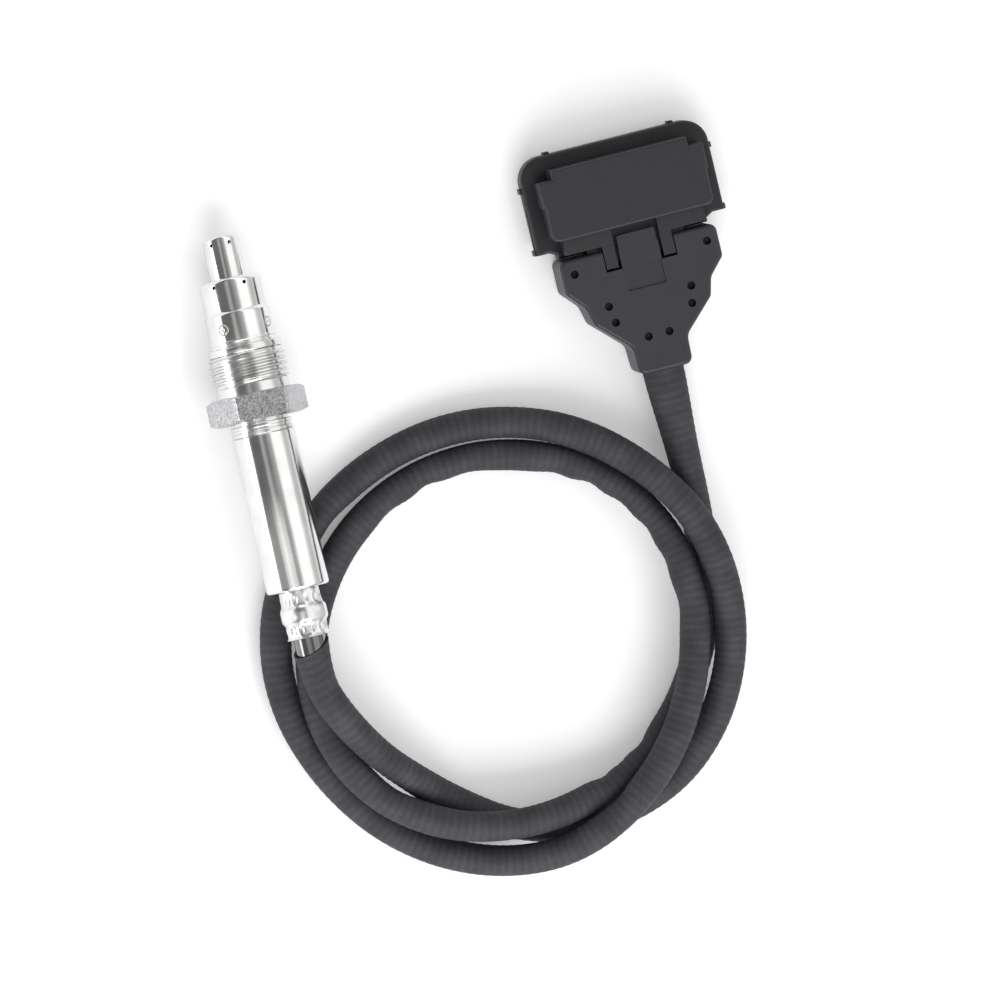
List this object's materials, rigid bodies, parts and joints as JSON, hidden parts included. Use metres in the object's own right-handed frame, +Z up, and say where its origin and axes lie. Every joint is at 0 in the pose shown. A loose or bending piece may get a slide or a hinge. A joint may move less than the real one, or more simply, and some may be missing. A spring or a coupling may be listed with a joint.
{
  "type": "nitrogen oxide sensor",
  "caption": "Exhaust gas sensor: stainless probe with vented tip and captive fitting nut, sleeved cable laid in loose loops, and a flanged moulded plug.",
  "frame": {"origin": "on the floor under the middle of the probe's box", "axes": "+Y along the probe towards its tip, which points down by 6.7 degrees; +Z up; the plug lies towards +X with its front towards +Y"},
  "size_m": [0.1407, 0.1797, 0.0247],
  "materials": {
    "bright_steel": "bright drawn stainless steel",
    "turned_steel": "turned stainless steel",
    "forged_steel": "forged and turned steel",
    "gloss_black": "smooth black tube",
    "ceramic": "white sintered ceramic",
    "talc": "pressed powder",
    "brass_contact": "plain",
    "lead_insulation": "coloured wire insulation",
    "grommet_rubber": "moulded",
    "cable_sleeve": "matte corrugated sleeve",
    "cover_plastic": "fine moulded grain",
    "block_plastic": "fine moulded grain",
    "flange_plastic": "fine moulded grain",
    "seal_rubber": "moulded"
  },
  "bodies": {
    "root": {"tip_shield": "bright_steel", "outer_shield": "bright_steel", "housing": "turned_steel", "gasket": "bright_steel", "retaining_collar": "turned_steel", "outer_sleeve": "bright_steel", "crimp_ferrule": "bright_steel", "cable_boot": "gloss_black", "front_insulator": "ceramic", "talc_packing": "talc", "rear_insulator": "ceramic", "clamp_ring": "turned_steel", "sensing_element": "ceramic", "contact_holder": "ceramic", "spring_clip": "turned_steel", "contacts": "brass_contact", "lead_wires": "lead_insulation", "grommet": "grommet_rubber", "cable": "cable_sleeve", "cover_top": "cover_plastic", "cover_bottom": "cover_plastic", "cable_clip": "turned_steel", "plug_block": "block_plastic", "plug_pins": "brass_contact", "plug_flange": "flange_plastic", "flange_seal": "seal_rubber", "plug_leads": "lead_insulation"},
    "nut": {"fitting_nut": "forged_steel"}
  },
  "joints": [
    {"name": "nut_spin", "type": "hinge", "parent": "root", "child": "nut", "pos_m": [0, 0.01921, 0.0103], "axis": [0, 0.9932, -0.1167], "continuous": true}
  ]
}
